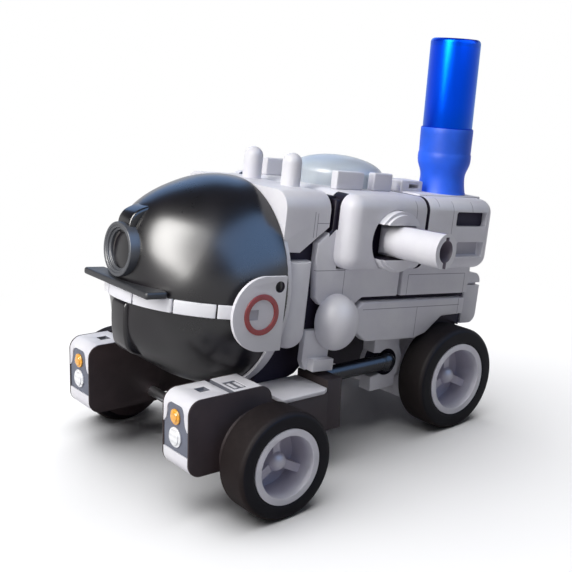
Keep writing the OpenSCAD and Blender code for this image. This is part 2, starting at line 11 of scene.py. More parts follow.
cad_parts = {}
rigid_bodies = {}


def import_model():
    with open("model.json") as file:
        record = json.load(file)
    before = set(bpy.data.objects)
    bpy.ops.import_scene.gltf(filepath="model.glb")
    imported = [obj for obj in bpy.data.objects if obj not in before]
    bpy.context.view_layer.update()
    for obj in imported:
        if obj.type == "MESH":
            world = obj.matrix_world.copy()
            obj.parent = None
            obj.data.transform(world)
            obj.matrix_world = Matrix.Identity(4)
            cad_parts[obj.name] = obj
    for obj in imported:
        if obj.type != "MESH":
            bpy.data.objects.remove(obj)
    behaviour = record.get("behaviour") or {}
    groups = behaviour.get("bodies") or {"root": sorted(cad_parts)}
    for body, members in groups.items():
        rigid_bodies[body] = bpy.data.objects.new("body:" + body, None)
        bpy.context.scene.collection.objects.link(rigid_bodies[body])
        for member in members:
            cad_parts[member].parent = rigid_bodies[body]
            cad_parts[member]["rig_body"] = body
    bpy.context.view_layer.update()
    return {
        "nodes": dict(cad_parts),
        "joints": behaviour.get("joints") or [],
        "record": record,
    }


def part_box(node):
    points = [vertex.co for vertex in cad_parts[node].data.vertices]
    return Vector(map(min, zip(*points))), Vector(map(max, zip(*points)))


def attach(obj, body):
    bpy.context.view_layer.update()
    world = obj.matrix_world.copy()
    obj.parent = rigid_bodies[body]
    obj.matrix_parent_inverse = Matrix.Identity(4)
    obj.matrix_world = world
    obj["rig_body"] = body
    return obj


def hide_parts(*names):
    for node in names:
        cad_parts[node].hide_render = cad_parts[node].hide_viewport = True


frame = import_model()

bl_info = {
    "name": "Toy space rover",
    "version": (1, 0, 0),
    "blender": (4, 5, 0),
    "location": "3D View > Sidebar > Rover",
    "description": "Models the skins, finishes and studio of a four-wheeled toy space rover",
    "category": "Object",
}

NODES = frame["nodes"]
JOINTS = {joint["name"]: joint for joint in frame["joints"]}
SLOT_OF = {row["node"]: row["material_slot"] for row in frame["record"]["subparts"]}
SIDES = {"left": 1, "right": -1}    # the way each side lies along X
FINISH = "rover_"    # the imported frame's own materials already carry the plain slot names
MM = 0.001


# Frames and places

def mm(x, y, z):
    """A place given in millimetres."""
    return Vector((x, y, z)) * MM


def lean(joint):
    """How far a joint's axis is turned about X from upright."""
    axis = JOINTS[joint]["axis"]
    return -math.atan2(axis[1], axis[2])


def tilted(origin, pitch):
    """A frame at an origin, turned about X."""
    return Matrix.Translation(origin) @ Matrix.Rotation(pitch, 4, "X")


FRONT_AXLE = Vector(JOINTS["front_wheels_spin"]["pos_m"])
REAR_AXLE = Vector(JOINTS["rear_wheels_spin"]["pos_m"])
HIP = Vector(JOINTS["hip_tilt"]["pos_m"])
BODY_PITCH = lean("left_arm_swing")
BODY_ORIGIN = FRONT_AXLE + mm(0, 12.6, 36)
BODY = tilted(BODY_ORIGIN, BODY_PITCH)
TO_BODY = BODY.inverted()
LEG_PITCH = math.radians(-2.5)
LEG = tilted(FRONT_AXLE, LEG_PITCH)
TO_LEG = LEG.inverted()
CELL_LEAN = lean("cell_pull")
CELL_FOOT = BODY @ mm(16, 64.6, 28)

# Places in the frame of the body
BALL = mm(0, -3.5, 0.5)
BELT_LOW, BELT_TOP = -4.4 * MM, -1.0 * MM
BELT_STOPS = (-67, -58, -36, -12, 12, 36, 58, 67)    # degrees from straight ahead
BARREL_UP = 8.6    # in millimetres, as the finish of the lens counts
DOME_ALONG = 36.5 * MM
EGG = mm(25, 20.3, -7.2)
PIVOT = mm(28.2, 34, 16)    # where the left arm swings
TUBE_BACK = Matrix.Rotation(math.radians(-9), 3, "Z")    # takes the rearward swing off an arm

# A lathe's axis turned, and the other side
FORWARD = Matrix.Rotation(math.radians(90), 4, "X")
SIDEWAYS = Matrix.Rotation(math.radians(90), 4, "Y")
MIRROR = Matrix.Scale(-1, 4, (1, 0, 0))


# Hand tools

EDGE_ANGLE = 28.0    # degrees from which an edge counts as sharp
WELD = 2e-6          # metres within which points of a copy or a lathe count as one


def take(*objects):
    """Leaves object mode on, with only these objects selected and the first one active."""
    if bpy.context.mode != "OBJECT":
        bpy.ops.object.mode_set(mode="OBJECT")
    bpy.ops.object.select_all(action="DESELECT")
    for obj in objects:
        obj.select_set(True)
    bpy.context.view_layer.objects.active = objects[0] if objects else None


class Shaping:
    """Edit mode on one object, with nothing selected at the start."""

    def __init__(self, obj, kind="FACE"):
        self.obj, self.kind = obj, kind

    def __enter__(self):
        take(self.obj)
        bpy.ops.object.mode_set(mode="EDIT")
        bpy.ops.mesh.select_mode(type=self.kind)
        bpy.ops.mesh.select_all(action="DESELECT")
        return self

    def __exit__(self, *_):
        bpy.ops.object.mode_set(mode="OBJECT")

    def pick(self, test):
        """Selects the vertices, edges or faces that pass the test."""
        mesh = bmesh.from_edit_mesh(self.obj.data)
        rows = {"VERT": mesh.verts, "EDGE": mesh.edges, "FACE": mesh.faces}[self.kind]
        found = [item for item in rows if test(item)]
        for item in found:
            item.select_set(True)
        if not found:
            raise RuntimeError(f"nothing to shape on {self.obj.name}")
        mesh.select_flush_mode()
        bmesh.update_edit_mesh(self.obj.data)

    def all(self):
        bpy.ops.mesh.select_all(action="SELECT")

    def slice(self, point, normal, keep_front, fill=False):
        """Cuts everything at a plane and drops one side."""
        self.all()
        bpy.ops.mesh.bisect(plane_co=point, plane_no=normal, use_fill=fill,
                            clear_inner=keep_front, clear_outer=not keep_front)


def named(name):
    """Names the object that was just added."""
    obj = bpy.context.active_object
    obj.name = name
    obj.data.name = name
    return obj


def settle(obj, place=Matrix.Identity(4)):
    """Puts the object's place into its mesh and leaves the object at the origin."""
    bpy.context.view_layer.update()
    obj.matrix_world = place @ obj.matrix_world
    take(obj)
    bpy.ops.object.transform_apply(location=True, rotation=True, scale=True)
    return obj


def apply(obj, kind, **settings):
    """Adds one modifier and applies it."""
    take(obj)
    modifier = obj.modifiers.new(kind.title(), kind)
    for key, value in settings.items():
        setattr(modifier, key, value)
    bpy.ops.object.modifier_apply(modifier=modifier.name)
    return obj


def soften(obj, width, segments=3, angle=EDGE_ANGLE):
    """Rounds the sharp edges and smooths the shading."""
    if width:
        apply(obj, "BEVEL", width=width, segments=segments, limit_method="ANGLE",
              angle_limit=math.radians(angle), use_clamp_overlap=True, miter_outer="MITER_ARC")
    take(obj)
    bpy.ops.object.shade_smooth_by_angle(angle=math.radians(angle + 4))
    return obj


def tidy(obj, thin=1e-6, outwards=True):
    """Merges doubled points and, if asked, turns every face outwards."""
    with Shaping(obj, "VERT") as shaping:
        shaping.all()
        bpy.ops.mesh.remove_doubles(threshold=thin)
        if outwards:
            bpy.ops.mesh.normals_make_consistent(inside=False)
    return obj


def flip(obj):
    """Turns every face the other way."""
    with Shaping(obj) as shaping:
        shaping.all()
        bpy.ops.mesh.flip_normals()
    return obj


def weld(name, *parts):
    """Joins parts of one piece into one object."""
    take(*parts)
    bpy.ops.object.join()
    return named(name)


def moulded(node, edge, segments=3, angle=EDGE_ANGLE):
    """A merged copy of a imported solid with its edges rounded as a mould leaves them."""
    take(NODES[node])
    bpy.ops.object.duplicate()
    obj = named(node + "_skin")
    bpy.ops.object.parent_clear(type="CLEAR_KEEP_TRANSFORM")
    for key in [key for key in obj.keys() if key.startswith("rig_")]:
        del obj[key]
    with Shaping(obj, "VERT") as shaping:
        shaping.all()
        bpy.ops.mesh.customdata_custom_splitnormals_clear()
        bpy.ops.mesh.remove_doubles(threshold=WELD)
        bpy.ops.mesh.dissolve_limited(angle_limit=math.radians(0.7))
    return soften(obj, edge, segments, angle)


def outline(name, points):
    """A line of points in the YZ plane, drawn by extruding one corner of a plane."""
    take()
    bpy.ops.mesh.primitive_plane_add(size=2, location=(0, 0, 0))
    obj = named(name)
    with Shaping(obj, "VERT") as shaping:
        shaping.pick(lambda vert: vert.co.x < 0 or vert.co.y < 0)
        bpy.ops.mesh.delete(type="VERT")
        shaping.all()
        last_corner = Vector((1, 1, 0))
        bpy.ops.transform.translate(value=Vector((0, *points[0])) - last_corner)
        for last, point in zip(points, points[1:]):
            step = Vector((0, point[0] - last[0], point[1] - last[1]))
            bpy.ops.mesh.extrude_vertices_move(TRANSFORM_OT_translate={"value": step})
    return obj


def lathe(name, profile, steps=96):
    """Turns a profile of (radius, height) points about the Z axis."""
    obj = outline(name, profile)
    with Shaping(obj, "VERT") as shaping:
        shaping.all()
        bpy.ops.mesh.spin(steps=steps, angle=math.tau, center=(0, 0, 0), axis=(0, 0, 1))
    return tidy(obj, WELD)


def prism(name, points, half):
    """A closed outline in the YZ plane, drawn out along X to both sides."""
    obj = outline(name, points)
    with Shaping(obj, "VERT") as shaping:
        shaping.all()
        bpy.ops.mesh.edge_face_add()
        bpy.ops.transform.translate(value=(-half, 0, 0))
        bpy.ops.mesh.extrude_region_move(TRANSFORM_OT_translate={"value": (2 * half, 0, 0)})
    return tidy(obj)


def block(name, low, high, radius=0.0, segments=6):
    """A box between two corners with all its edges rounded."""
    take()
    bpy.ops.mesh.primitive_cube_add(size=1, location=(low + high) / 2)
    obj = named(name)
    obj.scale = high - low
    settle(obj)
    if radius:
        with Shaping(obj, "EDGE") as shaping:
            shaping.all()
            bpy.ops.mesh.bevel(offset=radius, segments=segments, affect="EDGES", profile=0.5)
    return obj


def side_block(name, way, low, high, *edge):
    """A box given in millimetres on the left, for either side."""
    near, far = sorted((way * low[0], way * high[0]))
    return block(name, mm(near, *low[1:]), mm(far, *high[1:]), *edge)


def cut(obj, cutter):
    """Takes the cutter out of the object."""
    apply(obj, "BOOLEAN", operation="DIFFERENCE", solver="EXACT", object=cutter)
    bpy.data.objects.remove(cutter)
    return obj


def rounded(points, radius, count=4, closed=True):
    """The outline with each corner replaced by an arc, in plane maths."""
    result = []
    total = len(points)
    for index, point in enumerate(points):
        if not closed and index in (0, total - 1):
            result.append(tuple(point))
            continue
        corner = Vector(point)
        before = Vector(points[index - 1]) - corner
        after = Vector(points[(index + 1) % total]) - corner
        reach = min(radius, before.length * 0.45, after.length * 0.45)
        start = corner + before.normalized() * reach
        end = corner + after.normalized() * reach
        for step in range(count + 1):
            t = step / count
            result.append(tuple((1 - t) ** 2 * start + 2 * t * (1 - t) * corner + t * t * end))
    return result


def quarter(radius, foot, rise):
    """A quarter of an ellipse, from its rim at the foot up to the axis."""
    turns = [math.radians(angle) for angle in range(0, 90, 6)]
    return [(radius * math.cos(turn), foot + rise * math.sin(turn)) for turn in turns] + [(0, foot + rise)]


def in_mm(points):
    """An outline given in millimetres."""
    return [tuple(value * MM for value in point) for point in points]


def clothe(piece, node, finish=None):
    """Gives a piece the body of its node and one or more finishes, by default the finish of the node's
    slot.
    """
    slot = SLOT_OF[node]
    piece.data.materials.clear()
    for one in finish if isinstance(finish, tuple) else (finish or slot,):
        piece.data.materials.append(bpy.data.materials[FINISH + one])
    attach(piece, NODES[node]["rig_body"])
    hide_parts(node)
    return piece


def dress(node, edge, segments=3, angle=EDGE_ANGLE, finish=None):
    """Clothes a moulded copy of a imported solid."""
    return clothe(moulded(node, edge, segments, angle), node, finish)


def turned(node, profile, place, angle=40.0):
    """Clothes a lathed piece, its profile given in millimetres."""
    piece = settle(lathe(node + "_skin", in_mm(profile)), place)
    return clothe(soften(piece, 0, angle=angle), node)


def tint(piece, test, finish=1):
    """Gives the faces that pass the test another finish of a piece."""
    for face in piece.data.polygons:
        if test(face.center, face.normal):
            face.material_index = finish
    return piece


def within(spot, low, high):
    """Whether a spot lies in the box between two corners."""
    return all(start < value < end for start, value, end in zip(low, spot, high))


def repaint(*nodes):
    """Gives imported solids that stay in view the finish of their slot."""
    for node in nodes:
        mesh = NODES[node].data
        mesh.materials.clear()
        mesh.materials.append(bpy.data.materials[FINISH + SLOT_OF[node]])


# Finishes

def maths(operation, reflected=False):
    """A method that adds one Math node, with the other value first where it is reflected."""
    def method(self, other=0.0):
        left, right = (other, self) if reflected else (self, other)
        return self.paint.make("ShaderNodeMath", {"operation": operation}, {0: left, 1: right})
    return method


class Wire:
    """A socket that takes Python arithmetic and adds Math nodes for it."""

    def __init__(self, paint, socket):
        self.paint, self.socket = paint, socket

    __add__, __radd__ = maths("ADD"), maths("ADD", True)
    __sub__, __rsub__ = maths("SUBTRACT"), maths("SUBTRACT", True)
    __mul__, __rmul__ = maths("MULTIPLY"), maths("MULTIPLY", True)
    __gt__, __lt__ = maths("GREATER_THAN"), maths("LESS_THAN")
    __or__, __abs__ = maths("MAXIMUM"), maths("ABSOLUTE")
    sine, root = maths("SINE"), maths("SQRT")


class Paint:
    """One procedural material."""

    def __init__(self, name):
        self.material = bpy.data.materials.new(FINISH + name)
        self.material.use_nodes = True
        self.tree = self.material.node_tree
        self.shader = self.tree.nodes["Principled BSDF"]
        self.where = self.make("ShaderNodeTexCoord", out="Object")

    def make(self, kind, settings=None, sockets=None, out=0):
        """Adds a node, sets it up and returns one of its outputs, or a list of several."""
        node = self.tree.nodes.new(kind)
        for key, value in (settings or {}).items():
            setattr(node, key, value)
        self.plug(node, sockets or {})
        if isinstance(out, tuple):
            return [Wire(self, node.outputs[one]) for one in out]
        return Wire(self, node.outputs[out])

    def plug(self, node, sockets):
        """Links wires to a node's sockets and sets plain values on them."""
        for key, value in sockets.items():
            if isinstance(value, Wire):
                self.tree.links.new(value.socket, node.inputs[key])
            else:
                node.inputs[key].default_value = value

    def set(self, **sockets):
        """Sets or links sockets of the shader, named with underscores for spaces."""
        self.plug(self.shader, {key.replace("_", " "): value for key, value in sockets.items()})

    def base(self):
        """What feeds the shader's colour so far."""
        return Wire(self, self.shader.inputs["Base Color"].links[0].from_socket)

    def along(self, axis):
        """The distance along one of the rover's axes, in metres."""
        return self.make("ShaderNodeSeparateXYZ", {}, {0: self.where}, out=axis)

    def axes(self, origin, pitch):
        """Three coordinates in a turned frame, in millimetres."""
        moved = self.make("ShaderNodeMapping", {"vector_type": "TEXTURE"}, {
            "Vector": self.where, "Location": origin, "Rotation": (pitch, 0, 0),
            "Scale": (MM, MM, MM)})
        return self.make("ShaderNodeSeparateXYZ", {}, {0: moved}, out=("X", "Y", "Z"))

    def stretch(self, *scale):
        return self.make("ShaderNodeMapping", {}, {"Vector": self.where, "Scale": scale})

    def noise(self, scale, detail=3.0, roughness=0.55, where=None):
        return self.make("ShaderNodeTexNoise", {}, {
            "Vector": where or self.where, "Scale": scale, "Detail": detail, "Roughness": roughness})

    def ease(self, value, low, high):
        """A smooth step from 0 to 1 as a value passes between two limits."""
        return self.make("ShaderNodeMapRange", {"interpolation_type": "SMOOTHSTEP"}, {
            "Value": value, "From Min": low, "From Max": high})

    def mix(self, mask, one, two):
        return self.make("ShaderNodeMix", {"data_type": "RGBA"}, {0: mask, 6: one, 7: two}, out=2)

    def bump(self, height, strength, depth):
        return self.make("ShaderNodeBump", {}, {
            "Height": height, "Strength": strength, "Distance": depth})


def rgba(colour, gain=1.0):
    """A socket's colour, made lighter or darker by a gain."""
    return (*[min(value * gain, 1.0) for value in colour[:3]], 1.0)


def seam(paint, value, at, half=0.12):
    """A mask along the line where a value passes one place."""
    return 1.0 - paint.ease(abs(value - at), half * 0.4, half)


def span(value, low, high):
    """A mask between two limits."""
    return (value > low) * (value < high)


MOULD_SPECK = 2600.0    # noise scale of the grain that a mould leaves

# Plastics of a settable colour: setting, gain of the clouding, roughness, grain, gloss
SET_PLASTICS = {
    "trim_grey": ("trim", 1.25, 0.42, 0.10, 0.5),
    "ring_red": ("ring", 0.82, 0.40, 0.05, 0.5),
    # frame_dark is the inner frame's own colour, and also painted shade in holes, slots and gaps of pale
    # parts
    "frame_dark": ("groove", 1.6, 0.60, 0.10, 0.15),
    "holder_blue": ("holder", 0.8, 0.45, 0.06, 0.15),
    "face_grey": ("face", 1.2, 0.50, 0.08, 0.5),
}
# Plastics of a fixed colour: colour, clouding, roughness, grain, gloss
FIXED_PLASTICS = {
    "belt_white": ((0.84, 0.84, 0.88), (0.78, 0.78, 0.84), 0.34, 0.03, 0.2),
    "gear_white": ((0.80, 0.80, 0.77), (0.72, 0.72, 0.68), 0.40, 0.05, 0.5),
    "strut_black": ((0.012, 0.013, 0.018), (0.020, 0.021, 0.030), 0.26, 0.03, 0.28),
    "shelf_slate": ((0.028, 0.029, 0.034), (0.036, 0.037, 0.042), 0.45, 0.08, 0.3),
    # The next two are painted shade for the arm sockets and the sunk pockets
    "bore_shade": ((0.20, 0.17, 0.21), (0.24, 0.20, 0.25), 0.50, 0.06, 0.5),
    "pocket_grey": ((0.50, 0.49, 0.54), (0.46, 0.45, 0.50), 0.45, 0.06, 0.16),
    "hood_slot": ((0.10, 0.105, 0.13), (0.12, 0.125, 0.15), 0.50, 0.06, 0.5),
}
# Hairlines on the side panels: along (True) or across, place, start, end, in body millimetres
PANEL_LINES = (
    (False, 41.2, 19.4, 27.0), (False, 50.2, 25.6, 28.2), (False, 64.1, 24.2, 27.2),
    (False, 9.9, 15.8, 22.6), (False, 10.9, 15.8, 22.2), (True, 19.6, 10.9, 15.1),
    (False, 22.5, -0.6, 7.3), (True, 6.9, 12.2, 22.4),
    (False, 47.3, -0.9, 5.2), (True, 5.2, 47.3, 71.4), (False, 71.4, -0.9, 5.2),
    (True, -4.3, 30.4, 70.0), (False, 52.0, -13.2, -4.3), (False, 69.6, -6.9, -2.4),
    (True, 17.6, 47.4, 56.0), (False, 56.0, 8.6, 27.2),
)


def plastic(name, colour, cloudy, rough, grain, gloss=0.5, speck=MOULD_SPECK, depth=2e-5, spread=0.1):
    """Moulded plastic: faint clouding, uneven gloss and the fine grain of the mould."""
    paint = Paint(name)
    cloud = paint.ease(paint.noise(90.0, 4.0), 0.35, 0.68)
    fine = paint.noise(speck, 2.0)
    paint.set(Base_Color=paint.mix(cloud, rgba(colour), rgba(cloudy)),
              Roughness=rough + spread * (paint.noise(240.0, 3.0) - 0.5) + 0.05 * (fine - 0.5),
              Specular_IOR_Level=gloss, Normal=paint.bump(fine, grain, depth))
    return paint


def paint_shell(colours):
    """Pale body plastic with hairline panel joints, and painted shade in the groove on each side."""
    paint = plastic("shell_white", colours.shell, colours.shell_shade, 0.40, 0.06, 0.16)
    side, along, up = paint.axes(BODY_ORIGIN, BODY_PITCH)
    lines = 0.0
    for level, at, low, high in PANEL_LINES:
        value, reach = (up, along) if level else (along, up)
        lines = seam(paint, value, at) * span(reach, low, high) | lines
    lines = lines * (abs(side) > 23.0)
    # Painted shade: a strip in the groove on each side takes the dark groove colour
    slot = span(along, 15.4, 20.2) * (up - 0.9 * along > 2.2) * span(abs(side), 20.0, 24.6)
    scored = paint.mix(lines * 0.7, paint.base(), rgba(colours.groove, 6.0))
    paint.set(Base_Color=paint.mix(slot, scored, rgba(colours.groove)),
              Normal=paint.bump(paint.noise(MOULD_SPECK, 2.0) * 0.12 - lines, 0.35, 6e-5))


def paint_helmet(colours):
    """Polished black with a slight violet cast and faint polishing haze."""
    paint = Paint("helmet_black")
    haze = paint.ease(paint.noise(60.0, 4.0), 0.3, 0.75)
    swirl = paint.noise(900.0, 2.0)
    paint.set(Base_Color=paint.mix(haze, rgba(colours.helmet), rgba(colours.helmet_cast)),
              Roughness=0.26 + 0.04 * haze + 0.02 * swirl, IOR=1.5,
              Normal=paint.bump(swirl, 0.010, 2e-5))


def paint_tyre(colours):
    """Brown-black tread with fine lengthwise lines and dust, and smoother, darker sides."""
    paint = Paint("tyre")
    lines = (paint.along("X") * 9000.0).sine()
    dust = paint.ease(paint.noise(420.0, 5.0, 0.7), 0.42, 0.8)
    fine = paint.noise(3000.0, 3.0)
    paint.set(Base_Color=paint.mix(dust * 0.6, rgba(colours.tread), rgba(colours.tread, 1.7)),
              Roughness=0.62 + 0.16 * (fine - 0.5) + 0.08 * dust, Specular_IOR_Level=0.08,
              Normal=paint.bump(fine + 0.12 * lines, 0.12, 6e-5))
    plastic("tyre_side", colours.sidewall, rgba(colours.sidewall, 1.5), 0.5, 0.08, 0.08, 2200.0, 4e-5, 0.16)


def paint_cell(colours):
    """Metallic blue wrapper with a fine lap seam and slightly darker ends."""
    paint = Paint("cell_blue")
    side, along, up = paint.axes(CELL_FOOT, CELL_LEAN)
    brushed = paint.noise(160.0, 3.0, 0.6, paint.stretch(9.0, 9.0, 0.35))
    lap = seam(paint, side, 0.0, 0.14) * (along > 0.0)
    ends = paint.ease(up, 42.6, 43.2) | (1.0 - paint.ease(up, 20.0, 27.0))
    colour = paint.mix(brushed * 0.5, rgba(colours.cell), rgba(colours.cell_light))
    colour = paint.mix(ends * 0.35, colour, rgba(colours.cell, 0.55))
    paint.set(Base_Color=paint.mix(lap * 0.7, colour, rgba(colours.cell, 0.3)), Metallic=0.4,
              Roughness=0.26 + 0.1 * brushed, Specular_IOR_Level=1.0, Specular_Tint=(0.0, 0.85, 1.0, 1),
              Normal=paint.bump(brushed - lap, 0.05, 4e-5))


def paint_lens(colours):
    """Brown-black lens cup, paler towards its middle, with fine concentric rings."""
    paint = Paint("lens_dark")
    side, along, up = paint.axes(BODY_ORIGIN, BODY_PITCH)
    up = up - BARREL_UP
    radius = (side * side + up * up).root()
    rings = (radius * 7.0).sine()
    outwards = paint.ease(radius, 0.6, 4.6)
    paint.set(Base_Color=paint.mix(outwards, rgba(colours.lens, 2.2), rgba(colours.lens)),
              Roughness=0.3 + 0.06 * rings, Coat_Weight=0.4, Normal=paint.bump(rings, 0.08, 5e-5))


def paint_metal(name, colour):
    """Drawn or turned metal with fine streaks along X."""
    paint = Paint(name)
    streak = paint.noise(900.0, 4.0, 0.6, paint.stretch(0.08, 1.0, 1.0))
    paint.set(Base_Color=paint.mix(streak, rgba(colour, 0.8), rgba(colour, 1.1)), Metallic=1.0,
              Roughness=0.3 + 0.2 * (streak - 0.5), Normal=paint.bump(streak, 0.06, 2e-5))


def paint_hub(colours):
    """Pale hub plastic with violet painted shade towards the dished inside of the wheel."""
    paint = plastic("hub_lilac", colours.hub, rgba(colours.hub, 0.88), 0.42, 0.06)
    side = abs(paint.along("X"))
    rear, front = (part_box(f"{end}_left_hub")[1].x for end in ("rear", "front"))
    # Painted shade: violet darkening deeper into the dish of each hub
    depth = rear + (front - rear) * (side > (rear + 4 * MM)) - side
    paint.set(Base_Color=paint.mix(0.4 * paint.ease(depth, 0.8 * MM, 4.5 * MM), paint.base(),
                                   rgba(colours.hub_inside)))


def paint_dome(colours):
    """Smoky clear plastic of the deck dome, with painted shade that darkens it towards the rear."""
    paint = Paint("dome_smoke")
    haze = paint.ease(paint.noise(70.0, 3.0), 0.3, 0.7)
    # Painted shade: the dome darkens towards the rear
    rear = paint.ease(paint.axes(BODY_ORIGIN, BODY_PITCH)[1], 38.0, 49.0)
    clear = paint.mix(haze, rgba(colours.dome), rgba(colours.dome, 0.86))
    paint.set(Base_Color=paint.mix(0.75 * rear, clear, rgba(colours.dome, 0.25)),
              Roughness=0.30 + 0.06 * haze, Transmission_Weight=0.45, IOR=1.45,
              Normal=paint.bump(haze, 0.02, 3e-5))


def paint_lamp(name, colour, rib):
    """Lamp lens: a cloudy glossy cap over fine ribs."""
    paint = Paint(name)
    ribs = (paint.along("Z") * rib).sine()
    cloud = paint.ease(paint.noise(500.0, 2.0), 0.3, 0.7)
    paint.set(Base_Color=paint.mix(0.35 * ribs + 0.4 * cloud, rgba(colour), rgba(colour, 0.72)),
              Roughness=0.2 + 0.06 * ribs, Coat_Weight=0.5, Normal=paint.bump(ribs, 0.12, 8e-5))


def paint_all(colours):
    """Makes every finish."""
    for one in (paint_shell, paint_helmet, paint_tyre, paint_cell, paint_lens, paint_dome, paint_hub):
        one(colours)
    for name, (setting, gain, *surface) in SET_PLASTICS.items():
        colour = getattr(colours, setting)
        plastic(name, colour, rgba(colour, gain), *surface)
    for name, plain in FIXED_PLASTICS.items():
        plastic(name, *plain)
    plastic("leg_plum", colours.boot, rgba(colours.boot, 1.45), 0.55, 0.14, 0.22, 2000.0, 4e-5)
    paint_lamp("lamp_amber", colours.amber, 5200.0)
    paint_lamp("lamp_white", (0.86, 0.87, 0.9), 4200.0)
    paint_metal("steel", (0.5, 0.5, 0.53))
    paint_metal("brass", (0.72, 0.53, 0.24))


# Settings

def size(name, text, default):
    """A length, with its default in millimetres."""
    return FloatProperty(name=name, description=text, default=default * MM, min=0.0,
                         subtype="DISTANCE", unit="LENGTH", precision=5)


def tone(name, text, default):
    """A colour."""
    return FloatVectorProperty(name=name, description=text, default=default, size=3, min=0.0,
                               max=1.0, subtype="COLOR")


class RoverSizes(PropertyGroup):
    """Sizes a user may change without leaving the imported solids."""
    helmet_radius: size("Helmet radius", "Radius of the round helmet", 28.5)
    helmet_wall: size("Helmet wall", "Thickness of the helmet shells", 2.2)
    belt_height: size("Belt height", "Height of the white belt", 3.4)
    belt_proud: size("Belt stand-off", "How far the belt stands out of the helmet", 0.8)
    belt_gap: size("Belt joint", "Gap between two lengths of the belt", 0.5)
    pack_radius: size("Pack rounding", "Radius of the long edges of the backpack", 4.0)
    panel_edge: size("Panel edge", "Rounding of the edges of body panels", 0.4)
    fine_edge: size("Fine edge", "Rounding of the edges of small parts", 0.22)
    tyre_edge: size("Tyre shoulder", "Rounding of the tyre's shoulders", 0.6)


class RoverColours(PropertyGroup):
    """Colours of the finishes."""
    shell: tone("Shell", "Pale plastic of the body", (0.75, 0.745, 0.785))
    shell_shade: tone("Shell shade", "Faint clouding of the body plastic", (0.70, 0.69, 0.745))
    # Also used as painted shade in the side grooves of the shell
    groove: tone("Groove", "Dark inner frame seen in the grooves", (0.012, 0.008, 0.018))
    helmet: tone("Helmet", "Polished helmet", (0.004, 0.0035, 0.005))
    helmet_cast: tone("Helmet cast", "Violet haze of the helmet", (0.007, 0.005, 0.008))
    trim: tone("Trim", "Grey camera barrel", (0.050, 0.053, 0.062))
    lens: tone("Lens", "Inside of the camera barrel", (0.030, 0.022, 0.022))
    ring: tone("Ring", "Ring on the ear plates", (0.30, 0.022, 0.022))
    dome: tone("Dome", "Smoky dome on the deck", (0.66, 0.71, 0.76))
    holder: tone("Holder", "Blue cell holder", (0.026, 0.135, 0.88))
    cell: tone("Cell", "Wrapper of the power cell", (0.0006, 0.012, 0.62))
    cell_light: tone("Cell light", "Bright streaks of the wrapper", (0.001, 0.020, 0.72))
    boot: tone("Boot", "Plum-brown leg plastic", (0.025, 0.0158, 0.0175))
    face: tone("Face", "Grey face of the boots", (0.105, 0.115, 0.155))
    amber: tone("Amber", "Amber lamp", (0.90, 0.40, 0.018))
    tread: tone("Tread", "Tyre tread", (0.0115, 0.0078, 0.0080))
    sidewall: tone("Sidewall", "Tyre side", (0.0045, 0.0038, 0.0055))
    hub: tone("Hub", "Wheel hub", (0.72, 0.71, 0.77))
    # Painted shade for the dished inside of the hubs
    hub_inside: tone("Hub inside", "Shaded inside of the hubs", (0.20, 0.15, 0.25))


# Pieces

class RoverOperator:
    """What every modelling operator shares."""
    bl_options = {"REGISTER", "UNDO"}


class ROVER_OT_finishes(RoverOperator, Operator):
    """Makes the procedural finishes"""
    bl_idname = "rover.finishes"
    bl_label = "Finishes"

    def execute(self, context):
        paint_all(context.scene.rover_colours)
        return {"FINISHED"}


